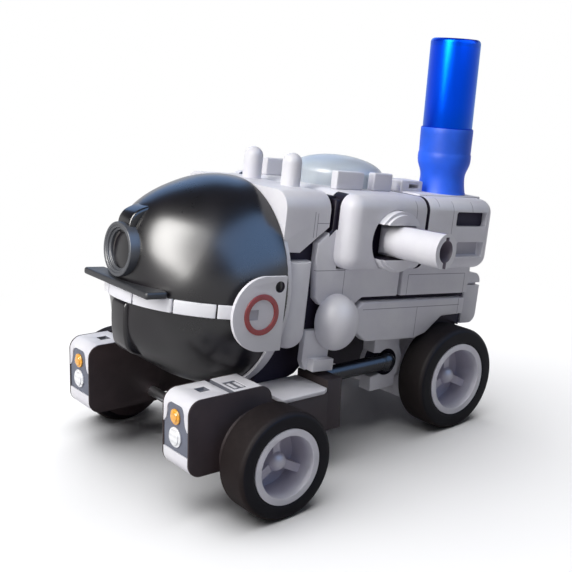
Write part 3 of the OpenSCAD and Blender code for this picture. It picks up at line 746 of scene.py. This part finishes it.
class ROVER_OT_helmet(RoverOperator, Operator):
    """Models the helmet's shells, belt, camera barrel and shelf"""
    bl_idname = "rover.helmet"
    bl_label = "Helmet"

    # Side views of the ridges, and profiles of the barrel and lens about their axis, in millimetres
    HUMP = ((-25, 12.2), (-32.4, 12.2), (-33.0, 14.8), (-32.6, 16.9), (-31.4, 18.5), (-29.2, 19.6),
            (-26, 20.5), (-22.6, 21.2), (-22.6, 17))
    CHIN = ((-22, -4.5), (-32.6, -4.5), (-32.5, -9), (-32.0, -13.4), (-31.0, -16.8), (-29.2, -18.4),
            (-25, -19.6), (-17, -20.4), (-17, -12))
    BARREL = ((4.9, 25), (7.0, 25), (7.0, 30.4), (7.0, 34.2), (6.2, 34.2), (6.0, 33.9), (5.5, 33.9),
              (5.4, 33.3), (4.9, 33.2), (4.9, 25))
    LENS = ((0, 26.6), (4.86, 26.6), (4.86, 32.4), (4.5, 32.2), (4.1, 30.8), (3.4, 29.8), (2.4, 29.2),
            (1.2, 28.9), (0, 28.8))
    BELT_WALL, BELT_STEP = 1.5 * MM, 0.03    # the step in radians

    def execute(self, context):
        sizes = context.scene.rover_sizes
        dome = self.half_ball(sizes, BELT_TOP, True, Vector((0, -26, 15.5)), 3.0 * MM, 20 * MM)
        self.shell("helmet_dome", dome, rounded(self.HUMP, 2.0, 5), 3.3 * MM, 1.4 * MM, 6)
        bowl = self.half_ball(sizes, BELT_TOP - 0.1 * MM, False, Vector((0, -24, -14)), 2.6 * MM, 13 * MM)
        self.shell("helmet_bowl", bowl, rounded(self.CHIN, 1.6, 5), 3.6 * MM, 0.7 * MM, 4)
        self.belt(sizes)
        place = BODY @ Matrix.Translation((0, 0, BARREL_UP * MM)) @ FORWARD
        turned("camera_barrel", rounded(self.BARREL, 0.28, 3, closed=False), place, 30.0)
        turned("camera_lens", self.LENS, place, 50.0)
        dress("camera_shelf", 0.6 * MM, 4, finish="shelf_slate")
        return {"FINISHED"}

    def half_ball(self, sizes, level, keep_top, way, rise, spread):
        """The ball above or below a level, open at the back, swollen and given its wall."""
        take()
        bpy.ops.mesh.primitive_uv_sphere_add(segments=144, ring_count=96, radius=sizes.helmet_radius,
                                             location=BALL, rotation=(0, math.radians(90), 0))
        ball = settle(named("ball"))
        with Shaping(ball) as shaping:
            shaping.slice((0, 0, level), (0, 0, 1), keep_top)
            shaping.slice((0, 0, 0), (0, 1, 0), False)
        way = way.normalized()
        top = BALL + way * sizes.helmet_radius
        with Shaping(ball, "VERT") as shaping:
            shaping.pick(lambda vert: (vert.co - top).length < 1.2 * MM)
            bpy.ops.transform.translate(value=way * rise, use_proportional_edit=True,
                                        proportional_edit_falloff="SMOOTH", proportional_size=spread)
        apply(ball, "SOLIDIFY", thickness=sizes.helmet_wall, offset=-1.0)
        return soften(ball, 0.25 * MM, 2, 40.0)

    def shell(self, node, ball, side_view, half, edge, segments):
        """Joins a ridge, given by its side view and half its width, to the ball."""
        ridge = soften(prism("ridge", in_mm(side_view), half), edge, segments)
        clothe(settle(weld(node + "_skin", ball, ridge), BODY), node)

    def belt(self, sizes):
        """Lengths of a band, each spun between two joints."""
        outer = sizes.helmet_radius + sizes.belt_proud
        inner = outer - self.BELT_WALL
        top = BELT_LOW + sizes.belt_height
        gap = sizes.belt_gap / outer
        section = rounded([(inner, BELT_LOW), (outer, BELT_LOW), (outer, top), (inner, top)], 0.22 * MM, 3)
        lengths = []
        for start, end in zip(BELT_STOPS, BELT_STOPS[1:]):
            reach = math.radians(end - start) - gap
            band = outline("band", section)
            with Shaping(band, "VERT") as shaping:
                shaping.all()
                bpy.ops.mesh.edge_face_add()
                bpy.ops.mesh.spin(steps=max(3, int(reach / self.BELT_STEP)), angle=reach,
                                  center=(0, 0, 0), axis=(0, 0, 1))
            settle(band, Matrix.Rotation(math.pi + math.radians(end) - gap / 2, 4, "Z"))
            lengths.append(soften(tidy(band), 0.12 * MM, 2, 50.0))
        belt = weld("helmet_belt_skin", *lengths)
        belt.location = (0, BALL.y, 0)
        clothe(settle(belt, BODY), "helmet_belt", "belt_white")


class ROVER_OT_ears(RoverOperator, Operator):
    """Models the ear plates, their rings and the chin strap"""
    bl_idname = "rover.ears"
    bl_label = "Ear plates"

    NOTCH = ((29.605, -12.8, -3.9), (31, -10.1, -1.3))    # on the left plate, in body millimetres
    HOLE = mm(0, -4.1, 4.3)

    def execute(self, context):
        sizes = context.scene.rover_sizes
        hole = BODY @ self.HOLE
        low, high = self.NOTCH
        nook = BODY @ ((mm(*low) + mm(*high)) / 2)
        for side, way in SIDES.items():
            node = side + "_ear_plate"
            plate = moulded(node, sizes.fine_edge)
            notch = side_block("notch", way, low, high, 0.15 * MM, 3)
            soften(cut(plate, settle(notch, BODY)), 0)
            clothe(plate, node, ("shell_white", "frame_dark", "pocket_grey"))
            # Painted shade: the wall of the hole takes the dark frame finish and the floor of the notch a
            # grey one
            tint(plate, lambda at, normal: (at - hole).yz.length < 1.46 * MM and abs(normal.x) < 0.3)
            tint(plate, lambda at, normal: 29.5 * MM < abs(at.x) < 29.9 * MM
                 and (at - nook).yz.length < 2 * MM, 2)
        dress("ear_rings", 0.12 * MM, 2)
        dress("chin_strap", 0.2 * MM, 2)
        return {"FINISHED"}


class ROVER_OT_hull(RoverOperator, Operator):
    """Models the body panels, columns, eggs, tail and bracket"""
    bl_idname = "rover.hull"
    bl_label = "Hull"

    def execute(self, context):
        sizes = context.scene.rover_sizes
        dress("collar_shell", 0.9 * MM, 4)
        dress("tail_block", sizes.panel_edge)
        bracket = dress("rear_bracket", sizes.fine_edge, 2, finish=("shell_white", "frame_dark"))
        # Painted shade: the recess round the hip ball takes the dark frame finish
        tint(bracket, lambda at, normal: (at - HIP).yz.length < 4.02 * MM and abs(at.x) < 20.3 * MM)
        for side in SIDES:
            dress(side + "_column", sizes.panel_edge)
            dress(side + "_flank", sizes.panel_edge)
            dress(side + "_sill", 0.55 * MM)
        self.eggs()
        core = dress("body_core", 0.0, finish=("frame_dark", "shell_white"))
        tint(core, lambda at, normal: (TO_BODY @ at).y < 1.6 * MM and (TO_BODY @ at).z > -13 * MM)
        return {"FINISHED"}

    def eggs(self):
        """Hip caps, a little fuller above than below, and flat where they meet the body."""
        radius, half, taper = 6.4, 7.8, 0.05
        turns = [math.radians(angle) for angle in range(8, 176, 8)]
        round_side = [(radius * math.sin(turn) * (1 - taper * math.cos(turn)), -half * math.cos(turn))
                      for turn in turns]
        egg = lathe("left_egg_skin", in_mm([(0, -half)] + round_side + [(0, half)]), 64)
        settle(egg, Matrix.Translation(EGG))
        with Shaping(egg) as shaping:
            shaping.slice((23.6 * MM, 0, 0), (1, 0, 0), True, fill=True)
        soften(settle(egg, BODY), 0, angle=40)
        take(egg)
        bpy.ops.object.duplicate()
        right = tidy(settle(named("right_egg_skin"), MIRROR))
        clothe(egg, "left_egg")
        clothe(right, "right_egg")


class ROVER_OT_pack(RoverOperator, Operator):
    """Models the two halves of the backpack and its windows"""
    bl_idname = "rover.pack"
    bl_label = "Backpack"

    # Sunk pockets on the left of the rear half: low and high corners, in body millimetres
    POCKETS = (((27.6, 57.6, 20.2), (36, 70.6, 24.4)), ((27.7, 59.0, 11.3), (36, 70.6, 15.8)))
    REAR_START = 46.2

    def execute(self, context):
        radius = context.scene.rover_sizes.pack_radius
        front = self.half("pack_front_skin", 17.6, 80.0, 45.0, False, radius)
        rear = self.half("pack_rear_skin", 0.0, 74.5, self.REAR_START, True, radius)
        for way in (-1, 1):
            cut(front, self.bore(way))
            for corners in self.POCKETS:
                cut(rear, side_block("pocket", way, *corners, 0.7 * MM, 4))
        for half in (front, rear):
            soften(tidy(half), 0.35 * MM, 3, 40.0)
        lid = block("lid", mm(-24, 47.4, 27.7), mm(24, 73.2, 28.4), 0.2 * MM, 3)
        rear = weld("pack_rear_skin", rear, soften(lid, 0, angle=40))
        clothe(settle(front, BODY), "pack_front")
        clothe(settle(rear, BODY), "pack_rear", ("shell_white", "frame_dark", "pocket_grey"))
        # Painted shade: the face seen in the gap between the halves takes the dark frame finish, and the
        # pocket floors a grey one
        tint(rear, self.in_gap)
        tint(rear, self.on_pocket_floor, 2)
        dress("pack_windows", 0.1 * MM, 2, finish="frame_dark")
        return {"FINISHED"}

    def half(self, name, low, high, joint, keep_rear, radius):
        """A rounded box, cut off where the two halves meet."""
        half = block(name, mm(-30, low, 7.5), mm(30, high, 28), radius, 9)
        with Shaping(half) as shaping:
            shaping.slice((0, joint * MM, 0), (0, 1, 0), keep_rear, fill=True)
        return half

    def bore(self, way):
        """What a shoulder disc takes out of the front half."""
        take()
        bpy.ops.mesh.primitive_cylinder_add(
            vertices=96, radius=8.45 * MM, depth=12 * MM, rotation=(0, math.radians(90), 0),
            location=(way * 29 * MM, PIVOT.y, PIVOT.z))
        return named("bore")

    def in_gap(self, at, normal):
        """Whether a face of the rear half looks into the gap between them, where it takes painted shade."""
        return normal.y < -0.9 and abs((TO_BODY @ at).y - self.REAR_START * MM) < 0.1 * MM

    def on_pocket_floor(self, at, normal):
        """Whether a face is the floor of a pocket, which takes painted shade."""
        return abs(normal.x) > 0.9 and 27.5 * MM < abs(at.x) < 28 * MM and (TO_BODY @ at).y > 57 * MM


class ROVER_OT_arms(RoverOperator, Operator):
    """Models the shoulder discs and arm tubes"""
    bl_idname = "rover.arms"
    bl_label = "Arms"

    # The slot of a disc across the rover, and the socket and slits of a tube from its pivot outwards
    SLOT_FROM, SLOT_TO, SLOT_HALF = 24.7 * MM, 32.4 * MM, 4.72 * MM
    SOCKET_FROM, SOCKET_TO, SOCKET_RADIUS = 8 * MM, 17.9 * MM, 3.1 * MM
    SLIT_HALF = 0.78 * MM

    def execute(self, context):
        sizes = context.scene.rover_sizes
        for side in SIDES:
            disc = dress(side + "_shoulder_disc", sizes.panel_edge, finish=("shell_white", "frame_dark"))
            # Painted shade: the slot inside each shoulder disc takes the dark frame finish
            tint(disc, lambda at, normal: abs((TO_BODY @ at).z - PIVOT.z) < self.SLOT_HALF
                 and self.SLOT_FROM < abs(at.x) < self.SLOT_TO)
            tube = dress(side + "_arm_tube", sizes.fine_edge, finish=("shell_white", "bore_shade"))
            # Painted shade: the socket and slits of each tube take a darker finish
            tint(tube, lambda at, normal: self.inside(TO_BODY @ at))
        return {"FINISHED"}

    def inside(self, spot):
        """Whether a spot in the body frame lies in an arm's socket or in its slits."""
        spot = TUBE_BACK @ (Vector((abs(spot.x), spot.y, spot.z)) - PIVOT)
        deep = self.SOCKET_FROM < spot.x < self.SOCKET_TO
        return deep and (spot.yz.length < self.SOCKET_RADIUS or abs(spot.y) < self.SLIT_HALF)


class ROVER_OT_deck(RoverOperator, Operator):
    """Models the smoky dome, posts, pins and latch on the deck"""
    bl_idname = "rover.deck"
    bl_label = "Deck"

    def execute(self, context):
        sizes = context.scene.rover_sizes
        inner, outer, foot = 12.3, 13.6, 28.05
        dome = lathe("dome", in_mm([(inner, foot), (outer, foot)] + quarter(outer, 31.2, 5.2)))
        lining = flip(lathe("lining", in_mm([(inner, foot)] + quarter(inner, 31.0, 4.2))))
        dome = tidy(weld("deck_dome_skin", dome, lining), WELD, outwards=False)
        place = BODY @ Matrix.Translation((0, DOME_ALONG, 0))
        clothe(soften(settle(dome, place), 0, angle=40), "deck_dome")
        dress("deck_posts", sizes.panel_edge)
        dress("deck_pins", 0.0, angle=40)
        dress("deck_latch", sizes.fine_edge)
        return {"FINISHED"}


class ROVER_OT_power(RoverOperator, Operator):
    """Models the blue holder and the power cell"""
    bl_idname = "rover.power"
    bl_label = "Power cell"

    # Profiles about the axis of the cell, in millimetres above the deck
    HOLDER = ((0, -3), (5.15, -3), (5.15, 0.45), (7.3, 0.45), (7.05, 0.9), (6.85, 2), (6.7, 3), (6.58, 4.2),
              (6.55, 5.2), (6.65, 6.2), (6.95, 7.2), (7.35, 8.2), (7.62, 9), (7.78, 10), (7.82, 11),
              (7.78, 11.9), (7.64, 12.2), (7.62, 12.6), (7.66, 15), (7.7, 18), (7.68, 19.2), (7.54, 19.55),
              (7.36, 19.5), (7.31, 19.2), (7.31, 11.5), (0, 11.5))
    CELL = ((0, 11.62), (6.9, 11.62), (7.25, 12.0), (7.25, 43.8), (7.2, 44.2), (7.02, 44.6), (6.7, 44.9),
            (6.3, 45.06), (5.9, 45.08), (5.7, 44.9), (5.2, 44.84), (0, 44.84))

    def execute(self, context):
        place = tilted(CELL_FOOT, CELL_LEAN)
        turned("battery_holder", self.HOLDER, place)
        turned("battery_cell", self.CELL, place)
        return {"FINISHED"}


class ROVER_OT_legs(RoverOperator, Operator):
    """Models the boots, shins, lamps, knee plates and hip struts"""
    bl_idname = "rover.legs"
    bl_label = "Legs"

    # Boxes on the left boot: low and high corners, in millimetres in the frame of the legs
    PAD = ((24.2, -6.0, 16.56), (29.9, -2.0, 18.0))
    BARS = (((25.4, -5.5, 16.4), (29.4, -4.5, 16.7)), ((25.4, -3.5, 16.4), (29.4, -2.5, 16.7)))
    DARK = (((24, -14.3, 15.5), (27.2, -11.1, 16.66)), ((0, -8.5, 15.9), (40, -6.7, 16.66)),
            ((24.1, -6.1, 16.5), (30, -1.9, 16.62)))    # the slot, the groove and the floor of the pad

    def execute(self, context):
        sizes = context.scene.rover_sizes
        for side, way in SIDES.items():
            dress(side + "_leg", 0.3 * MM)
            self.hood(side + "_boot_hood", way, sizes.fine_edge)
        dress("boot_faces", 0.2 * MM)
        dress("knee_plates", sizes.fine_edge)
        dress("amber_lamps", 0.25 * MM)
        dress("white_lamps", 0.25 * MM)
        dress("hip_struts", 0.0, angle=40)
        return {"FINISHED"}

    def hood(self, node, way, edge):
        """A boot's white hood with its slot and groove and a sunk pad with two bars."""
        hood = moulded(node, edge)
        cut(hood, settle(side_block("pad", way, *self.PAD), LEG))
        bars = [settle(side_block("bar", way, *corners), LEG) for corners in self.BARS]
        hood = soften(weld(node + "_skin", hood, *bars), 0)
        clothe(hood, node, ("shell_white", "hood_slot"))
        tint(hood, lambda at, normal: self.sunk(TO_LEG @ at / MM))

    def sunk(self, spot):
        """Whether a spot in the frame of the legs lies in the hood's slot, groove or pad."""
        spot = (abs(spot.x), spot.y, spot.z)
        return any(within(spot, *corners) for corners in self.DARK)


class ROVER_OT_wheels(RoverOperator, Operator):
    """Models the tyres and hubs, and finishes the axles"""
    bl_idname = "rover.wheels"
    bl_label = "Wheels"

    def execute(self, context):
        sizes = context.scene.rover_sizes
        for end, axle in (("front", FRONT_AXLE), ("rear", REAR_AXLE)):
            for side in SIDES:
                self.tyre(f"{end}_{side}_tyre", axle, sizes.tyre_edge)
                dress(f"{end}_{side}_hub", sizes.fine_edge)
        repaint("front_axle", "rear_axle")
        return {"FINISHED"}

    def tyre(self, node, axle, edge):
        """A tyre with chamfered shoulders and a stepped lip on each side."""
        low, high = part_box(node)
        radius = (high.z - low.z) / 2
        width = high.x - low.x
        rim = radius * 0.7
        lip, step, shoulder = 0.8 * MM, 0.25 * MM, 0.9 * MM
        side = [(rim, step), (rim + lip, 0), (radius - shoulder, 0), (radius, shoulder)]
        profile = side + [(out, width - across) for out, across in reversed(side)] + side[:1]
        tyre = lathe(node + "_skin", rounded(profile, edge, 4, closed=False), 128)
        settle(tyre, Matrix.Translation((low.x, axle.y, axle.z)) @ SIDEWAYS)
        clothe(soften(tyre, 0, angle=30), node, ("tyre", "tyre_side"))
        tint(tyre, lambda at, normal: abs(normal.x) > 0.8)


class ROVER_OT_drive(RoverOperator, Operator):
    """Finishes the motor and gears inside the rear bracket"""
    bl_idname = "rover.drive"
    bl_label = "Gear drive"

    def execute(self, context):
        repaint("drive_motor", "motor_pinion", "idler_gear", "axle_gear")
        return {"FINISHED"}


# Studio

def panel_light(name, azimuth, elevation, distance, width, height, radiance, colour, hidden,
                target=(0, 0, 0.05)):
    """A soft rectangular lamp of a given brightness, aimed at the rover.

    A lamp hidden from "glossy" or "diffuse" rays gives only soft light or only a reflection.
    """
    azimuth, elevation = math.radians(azimuth), math.radians(elevation)
    aim = Vector((math.sin(azimuth) * math.cos(elevation), -math.cos(azimuth) * math.cos(elevation),
                  math.sin(elevation)))
    take()
    bpy.ops.object.light_add(type="AREA", location=Vector(target) + aim * distance)
    lamp = bpy.context.active_object
    lamp.name = name
    lamp.rotation_euler = aim.to_track_quat("Z", "Y").to_euler()
    lamp.data.shape = "RECTANGLE"
    lamp.data.size, lamp.data.size_y = width, height
    lamp.data.color = colour
    lamp.data.energy = radiance * math.pi * width * height
    lamp.visible_camera = False
    setattr(lamp, "visible_" + hidden, False)
    return lamp


class ROVER_OT_stage(RoverOperator, Operator):
    """Sets up the floor, backdrop, lamps and camera"""
    bl_idname = "rover.stage"
    bl_label = "Studio"

    FLOOR_RADIUS = 6.0
    WALL_RADIUS, WALL_HEIGHT = 5.9, 1.9
    SHADOW_NEAR, SHADOW_FAR = 0.085, 0.19    # between these the floor turns to plain white

    # The camera fitted to the photo
    CAMERA_PLACE = mm(218.7, -171.4, 120.5)
    CAMERA_TURN = (math.pi / 2 - 0.268, 0, 0.909)
    FOCAL_PIXELS, PHOTO_PIXELS = 989.0, 572.0
    SENSOR = 36.0

    def execute(self, context):
        self.ground()
        self.world(context.scene)
        self.lamps()
        self.camera(context.scene)
        context.scene.view_settings.view_transform = "Standard"
        return {"FINISHED"}

    def white(self, obj, paint, mask, colour):
        """Mixes a lit surface with plain white for what looks at it directly."""
        camera, glossy, through = paint.make("ShaderNodeLightPath", out=(
            "Is Camera Ray", "Is Glossy Ray", "Is Transmission Ray"))
        direct = camera | glossy | through
        glow = paint.make("ShaderNodeEmission", {}, {"Color": (1, 1, 1, 1), "Strength": 1.0})
        paint.set(Base_Color=paint.mix(direct, (0.42, 0.42, 0.44, 1), colour), Roughness=0.9,
                  Specular_IOR_Level=0.1)
        lit = Wire(paint, paint.shader.outputs[0])
        both = paint.make("ShaderNodeMixShader", {}, {0: mask * direct, 1: lit, 2: glow})
        paint.plug(paint.tree.nodes["Material Output"], {"Surface": both})
        obj.data.materials.append(paint.material)

    def ground(self):
        """A round floor that keeps the rover's shadow, and a round wall."""
        take()
        bpy.ops.mesh.primitive_circle_add(vertices=96, radius=self.FLOOR_RADIUS, fill_type="NGON")
        floor = named("studio_floor")
        paint = Paint("floor_white")
        far = paint.make("ShaderNodeVectorMath", {"operation": "LENGTH"}, {0: paint.where}, out="Value")
        self.white(floor, paint, paint.ease(far, self.SHADOW_NEAR, self.SHADOW_FAR), (0.86, 0.86, 0.87, 1))
        take()
        bpy.ops.mesh.primitive_cylinder_add(
            vertices=96, radius=self.WALL_RADIUS, depth=self.WALL_HEIGHT, end_fill_type="NOTHING",
            location=(0, 0, self.WALL_HEIGHT / 2))
        wall = flip(settle(named("studio_wall")))
        self.white(wall, Paint("wall_white"), 1.0, (0.8, 0.8, 0.82, 1))

    def world(self, scene):
        """A faint even light from all around."""
        world = bpy.data.worlds.new("studio")
        scene.world = world
        world.use_nodes = True
        back = world.node_tree.nodes["Background"]
        back.inputs["Color"].default_value = (0.90, 0.93, 1.0, 1)
        back.inputs["Strength"].default_value = 0.08

    def lamps(self):
        """Light and reflections for the rover, a streak on its cell, and light for the studio."""
        warm, blue, white = (1.0, 0.985, 0.955), (0.33, 0.56, 1.0), (1.0, 1.0, 1.0)
        studio = ("studio_floor", "studio_wall")
        on_rover = (
            panel_light("key_front", -2, 30, 0.62, 0.26, 0.52, 8.7, warm, "glossy"),
            panel_light("glint", 15, 40, 0.64, 0.28, 0.62, 29.0, warm, "diffuse"),
            panel_light("near_fill", 60, 35, 0.15, 0.09, 0.09, 0.7, (0.93, 0.94, 1.0), "glossy",
                        mm(30, -50, 45)),
            panel_light("top_soft", 0, 88, 0.60, 0.80, 0.80, 1.3, (0.95, 0.97, 1.0), "glossy"),
            panel_light("sky_right", 112, 41, 0.80, 1.10, 0.75, 4.4, blue, "diffuse"),
            panel_light("sky_left", -114, 32, 0.80, 0.62, 0.40, 1.6, blue, "diffuse"),
        )
        strip = panel_light("strip", 8, -1, 0.60, 0.08, 0.36, 20.0, white, "diffuse", mm(16, 40, 95))
        floor_top = panel_light("floor_top", -60, 76, 1.0, 1.5, 1.5, 3.2, white, "glossy")
        for lamp in on_rover:
            self.light_only(lamp, "EXCLUDE", studio)
        self.light_only(floor_top, "INCLUDE", studio)
        self.light_only(strip, "INCLUDE", ("battery_cell_skin",))

    def light_only(self, lamp, state, names):
        """Keeps a lamp off the named objects or on them alone; shadows stay as they are."""
        receivers = bpy.data.collections.new(lamp.name + "_receivers")
        for name in names:
            receivers.objects.link(bpy.data.objects[name])
        for entry in receivers.collection_objects:
            entry.light_linking.link_state = state
        lamp.light_linking.receiver_collection = receivers

    def camera(self, scene):
        """The photo's view of the rover."""
        take()
        bpy.ops.object.camera_add(location=self.CAMERA_PLACE, rotation=self.CAMERA_TURN)
        camera = bpy.context.active_object
        camera.name = "photo_camera"
        camera.data.sensor_width = self.SENSOR
        camera.data.lens = self.FOCAL_PIXELS / self.PHOTO_PIXELS * self.SENSOR
        camera.data.clip_start, camera.data.clip_end = 0.01, 50.0
        scene.camera = camera


class ROVER_PT_panel(Panel):
    """Lists the rover's pieces and settings"""
    bl_label = "Toy space rover"
    bl_idname = "ROVER_PT_panel"
    bl_space_type = "VIEW_3D"
    bl_region_type = "UI"
    bl_category = "Rover"

    def draw(self, context):
        for operator in OPERATORS:
            self.layout.operator(operator.bl_idname)
        for group in (context.scene.rover_sizes, context.scene.rover_colours):
            box = self.layout.box()
            for name in group.__annotations__:
                box.prop(group, name)


OPERATORS = (ROVER_OT_finishes, ROVER_OT_helmet, ROVER_OT_ears, ROVER_OT_hull, ROVER_OT_pack,
             ROVER_OT_arms, ROVER_OT_deck, ROVER_OT_power, ROVER_OT_legs, ROVER_OT_wheels,
             ROVER_OT_drive, ROVER_OT_stage)
CLASSES = (RoverSizes, RoverColours, *OPERATORS, ROVER_PT_panel)


def register():
    for one in CLASSES:
        bpy.utils.register_class(one)
    bpy.types.Scene.rover_sizes = PointerProperty(type=RoverSizes)
    bpy.types.Scene.rover_colours = PointerProperty(type=RoverColours)


def unregister():
    del bpy.types.Scene.rover_sizes
    del bpy.types.Scene.rover_colours
    for one in reversed(CLASSES):
        bpy.utils.unregister_class(one)


def main():
    register()
    bpy.ops.rover.finishes()
    bpy.ops.rover.helmet()
    bpy.ops.rover.ears()
    bpy.ops.rover.hull()
    bpy.ops.rover.pack()
    bpy.ops.rover.arms()
    bpy.ops.rover.deck()
    bpy.ops.rover.power()
    bpy.ops.rover.legs()
    bpy.ops.rover.wheels()
    bpy.ops.rover.drive()
    bpy.ops.rover.stage()
    take()


if __name__ == "__main__":
    main()
